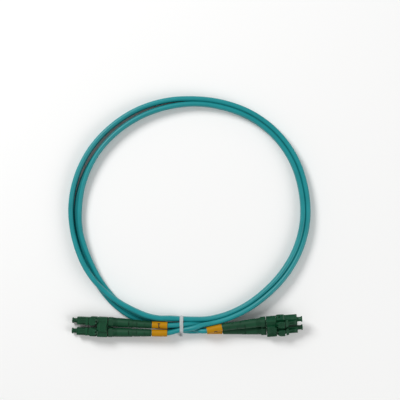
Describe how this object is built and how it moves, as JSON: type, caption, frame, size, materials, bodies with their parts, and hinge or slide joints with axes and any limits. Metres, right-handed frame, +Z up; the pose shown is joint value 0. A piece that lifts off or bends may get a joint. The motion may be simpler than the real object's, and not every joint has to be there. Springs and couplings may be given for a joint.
{
  "type": "fibre optic patch cord",
  "caption": "Duplex fibre optic patch cord, coiled and tied, with paired latched plugs, slotted boots, marker sleeves and dust caps at each end.",
  "frame": {"origin": "middle of the footprint of the two pairs of plugs, on the surface the cord lies on", "axes": "+X runs from end A, with its caps at -X, to end B; +Y points into the coil; +Z is up"},
  "size_m": [0.1451, 0.1444, 0.0125],
  "materials": {
    "plug_body": "dark green moulded plastic, fine texture",
    "trigger": "dark green moulded plastic",
    "clip": "dark green moulded plastic",
    "boot": "dark green soft plastic, satin",
    "cap": "dark green, slightly translucent",
    "marker": "amber, smooth",
    "jacket": "aqua extruded jacket, satin",
    "tie": "pale grey flat strip",
    "ceramic": "polished white zirconia",
    "nickel": "nickel-plated, turned",
    "spring_steel": "bright spring wire",
    "buffer": "tight-buffered fibre"
  },
  "bodies": {
    "cord": {"front_housing_a1": "plug_body", "front_housing_a2": "plug_body", "front_housing_b1": "plug_body", "front_housing_b2": "plug_body", "rear_housing_a1": "plug_body", "rear_housing_a2": "plug_body", "rear_housing_b1": "plug_body", "rear_housing_b2": "plug_body", "spring_a1": "spring_steel", "spring_a2": "spring_steel", "spring_b1": "spring_steel", "spring_b2": "spring_steel", "crimp_body_a1": "nickel", "crimp_body_a2": "nickel", "crimp_body_b1": "nickel", "crimp_body_b2": "nickel", "crimp_sleeve_a1": "nickel", "crimp_sleeve_a2": "nickel", "crimp_sleeve_b1": "nickel", "crimp_sleeve_b2": "nickel", "boot_a1": "boot", "boot_a2": "boot", "boot_b1": "boot", "boot_b2": "boot", "marker_a1": "marker", "marker_a2": "marker", "marker_b1": "marker", "marker_b2": "marker", "duplex_clip_a": "clip", "duplex_clip_b": "clip", "strand_1": "jacket", "strand_2": "jacket", "cord_web": "jacket", "tie": "tie"},
    "trigger_a1": {"trigger_a1": "trigger"},
    "latch_a1": {"latch_a1": "plug_body"},
    "tip_a1": {"ferrule_a1": "ceramic", "ferrule_flange_a1": "nickel", "fibre_a1": "buffer"},
    "cap_a1": {"dust_cap_a1": "cap"},
    "trigger_a2": {"trigger_a2": "trigger"},
    "latch_a2": {"latch_a2": "plug_body"},
    "tip_a2": {"ferrule_a2": "ceramic", "ferrule_flange_a2": "nickel", "fibre_a2": "buffer"},
    "cap_a2": {"dust_cap_a2": "cap"},
    "trigger_b1": {"trigger_b1": "trigger"},
    "latch_b1": {"latch_b1": "plug_body"},
    "tip_b1": {"ferrule_b1": "ceramic", "ferrule_flange_b1": "nickel", "fibre_b1": "buffer"},
    "cap_b1": {"dust_cap_b1": "cap"},
    "trigger_b2": {"trigger_b2": "trigger"},
    "latch_b2": {"latch_b2": "plug_body"},
    "tip_b2": {"ferrule_b2": "ceramic", "ferrule_flange_b2": "nickel", "fibre_b2": "buffer"},
    "cap_b2": {"dust_cap_b2": "cap"}
  },
  "joints": [
    {"name": "trigger_press_a1", "type": "hinge", "parent": "cord", "child": "trigger_a1", "pos_m": [-0.05324, 0.00266, 0.00634], "axis": [-0.0384, -0.9993, 0], "range_deg": [0, 11], "stiffness_Nm_per_rad": 0.05},
    {"name": "latch_flex_a1", "type": "hinge", "parent": "cord", "child": "latch_a1", "pos_m": [-0.06513, 0.00312, 0.00463], "axis": [0.0384, 0.9993, 0], "range_deg": [0, 5]},
    {"name": "ferrule_float_a1", "type": "slide", "parent": "cord", "child": "tip_a1", "axis": [0.996, -0.0383, 0.0802], "range_m": [0, 0.0006], "stiffness_N_per_m": 2000, "deforming": ["spring_a1"]},
    {"name": "cap_pull_a1", "type": "slide", "parent": "cord", "child": "cap_a1", "axis": [-0.996, 0.0383, -0.0802], "range_m": [0, 0.006]},
    {"name": "trigger_press_a2", "type": "hinge", "parent": "cord", "child": "trigger_a2", "pos_m": [-0.05348, -0.00358, 0.00634], "axis": [-0.0384, -0.9993, 0], "range_deg": [0, 11], "stiffness_Nm_per_rad": 0.05},
    {"name": "latch_flex_a2", "type": "hinge", "parent": "cord", "child": "latch_a2", "pos_m": [-0.06537, -0.00312, 0.00463], "axis": [0.0384, 0.9993, 0], "range_deg": [0, 5]},
    {"name": "ferrule_float_a2", "type": "slide", "parent": "cord", "child": "tip_a2", "axis": [0.996, -0.0383, 0.0802], "range_m": [0, 0.0006], "stiffness_N_per_m": 2000, "deforming": ["spring_a2"]},
    {"name": "cap_pull_a2", "type": "slide", "parent": "cord", "child": "cap_a2", "axis": [-0.996, 0.0383, -0.0802], "range_m": [0, 0.006]},
    {"name": "trigger_press_b1", "type": "hinge", "parent": "cord", "child": "trigger_b1", "pos_m": [0.05317, -0.00367, 0.0062], "axis": [-0.0838, 0.825, 0.5589], "range_deg": [0, 11], "stiffness_Nm_per_rad": 0.05},
    {"name": "latch_flex_b1", "type": "hinge", "parent": "cord", "child": "latch_b1", "pos_m": [0.06512, -0.00232, 0.00599], "axis": [0.0838, -0.825, -0.5589], "range_deg": [0, 5]},
    {"name": "ferrule_float_b1", "type": "slide", "parent": "cord", "child": "tip_b1", "axis": [-0.9964, -0.0775, -0.0349], "range_m": [0, 0.0006], "stiffness_N_per_m": 2000, "deforming": ["spring_b1"]},
    {"name": "cap_pull_b1", "type": "slide", "parent": "cord", "child": "cap_b1", "axis": [0.9964, 0.0775, 0.0349], "range_m": [0, 0.006]},
    {"name": "trigger_press_b2", "type": "hinge", "parent": "cord", "child": "trigger_b2", "pos_m": [0.05265, 0.00148, 0.00969], "axis": [-0.0838, 0.825, 0.5589], "range_deg": [0, 11], "stiffness_Nm_per_rad": 0.05},
    {"name": "latch_flex_b2", "type": "hinge", "parent": "cord", "child": "latch_b2", "pos_m": [0.06459, 0.00283, 0.00949], "axis": [0.0838, -0.825, -0.5589], "range_deg": [0, 5]},
    {"name": "ferrule_float_b2", "type": "slide", "parent": "cord", "child": "tip_b2", "axis": [-0.9964, -0.0775, -0.0349], "range_m": [0, 0.0006], "stiffness_N_per_m": 2000, "deforming": ["spring_b2"]},
    {"name": "cap_pull_b2", "type": "slide", "parent": "cord", "child": "cap_b2", "axis": [0.9964, 0.0775, 0.0349], "range_m": [0, 0.006]}
  ],
  "couplings": [
    {"joint": "latch_flex_a1", "follows": "trigger_press_a1", "ratio": 0.45},
    {"joint": "latch_flex_a2", "follows": "trigger_press_a2", "ratio": 0.45},
    {"joint": "latch_flex_b1", "follows": "trigger_press_b1", "ratio": 0.45},
    {"joint": "latch_flex_b2", "follows": "trigger_press_b2", "ratio": 0.45}
  ]
}
